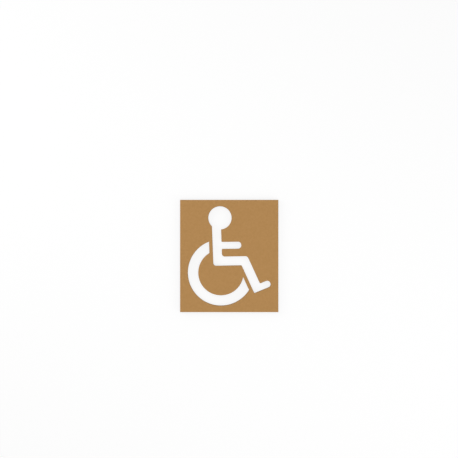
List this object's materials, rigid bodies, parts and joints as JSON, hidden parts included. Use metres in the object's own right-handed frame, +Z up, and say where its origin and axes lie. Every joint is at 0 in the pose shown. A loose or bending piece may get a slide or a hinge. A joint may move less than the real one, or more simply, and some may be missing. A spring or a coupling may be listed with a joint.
{
  "type": "road marking stencil",
  "caption": "Flat kraft corrugated boards in a stack, each die-cut through with a wheelchair-user symbol; one at a time is laid on the road and sprayed over to mark a parking bay.",
  "frame": {"origin": "middle of the stack's underside, on the ground", "axes": "+Z up through the stack, +Y towards the head of the symbol, +X towards its foot"},
  "size_m": [0.5912, 0.6752, 0.036],
  "materials": {
    "face_liner_kraft": "matt brown kraft paper",
    "fluting_paper": "matt brown fluting paper",
    "back_liner_kraft": "matt brown kraft paper"
  },
  "bodies": {
    "board_01": {"board_01_back_liner": "back_liner_kraft", "board_01_fluted_medium": "fluting_paper", "board_01_face_liner": "face_liner_kraft"},
    "board_02": {"board_02_back_liner": "back_liner_kraft", "board_02_fluted_medium": "fluting_paper", "board_02_face_liner": "face_liner_kraft"},
    "board_03": {"board_03_back_liner": "back_liner_kraft", "board_03_fluted_medium": "fluting_paper", "board_03_face_liner": "face_liner_kraft"},
    "board_04": {"board_04_back_liner": "back_liner_kraft", "board_04_fluted_medium": "fluting_paper", "board_04_face_liner": "face_liner_kraft"},
    "board_05": {"board_05_back_liner": "back_liner_kraft", "board_05_fluted_medium": "fluting_paper", "board_05_face_liner": "face_liner_kraft"},
    "board_06": {"board_06_back_liner": "back_liner_kraft", "board_06_fluted_medium": "fluting_paper", "board_06_face_liner": "face_liner_kraft"},
    "board_07": {"board_07_back_liner": "back_liner_kraft", "board_07_fluted_medium": "fluting_paper", "board_07_face_liner": "face_liner_kraft"},
    "board_08": {"board_08_back_liner": "back_liner_kraft", "board_08_fluted_medium": "fluting_paper", "board_08_face_liner": "face_liner_kraft"},
    "board_09": {"board_09_back_liner": "back_liner_kraft", "board_09_fluted_medium": "fluting_paper", "board_09_face_liner": "face_liner_kraft"},
    "board_10": {"board_10_back_liner": "back_liner_kraft", "board_10_fluted_medium": "fluting_paper", "board_10_face_liner": "face_liner_kraft"},
    "board_11": {"board_11_back_liner": "back_liner_kraft", "board_11_fluted_medium": "fluting_paper", "board_11_face_liner": "face_liner_kraft"},
    "board_12": {"board_12_back_liner": "back_liner_kraft", "board_12_fluted_medium": "fluting_paper", "board_12_face_liner": "face_liner_kraft"}
  },
  "joints": [
    {"name": "lift_02", "type": "slide", "parent": "board_01", "child": "board_02", "axis": [0, 0, 1], "range_m": [0, 0.06]},
    {"name": "lift_03", "type": "slide", "parent": "board_02", "child": "board_03", "axis": [0, 0, 1], "range_m": [0, 0.06]},
    {"name": "lift_04", "type": "slide", "parent": "board_03", "child": "board_04", "axis": [0, 0, 1], "range_m": [0, 0.06]},
    {"name": "lift_05", "type": "slide", "parent": "board_04", "child": "board_05", "axis": [0, 0, 1], "range_m": [0, 0.06]},
    {"name": "lift_06", "type": "slide", "parent": "board_05", "child": "board_06", "axis": [0, 0, 1], "range_m": [0, 0.06]},
    {"name": "lift_07", "type": "slide", "parent": "board_06", "child": "board_07", "axis": [0, 0, 1], "range_m": [0, 0.06]},
    {"name": "lift_08", "type": "slide", "parent": "board_07", "child": "board_08", "axis": [0, 0, 1], "range_m": [0, 0.06]},
    {"name": "lift_09", "type": "slide", "parent": "board_08", "child": "board_09", "axis": [0, 0, 1], "range_m": [0, 0.06]},
    {"name": "lift_10", "type": "slide", "parent": "board_09", "child": "board_10", "axis": [0, 0, 1], "range_m": [0, 0.06]},
    {"name": "lift_11", "type": "slide", "parent": "board_10", "child": "board_11", "axis": [0, 0, 1], "range_m": [0, 0.06]},
    {"name": "lift_12", "type": "slide", "parent": "board_11", "child": "board_12", "axis": [0, 0, 1], "range_m": [0, 0.06]}
  ]
}
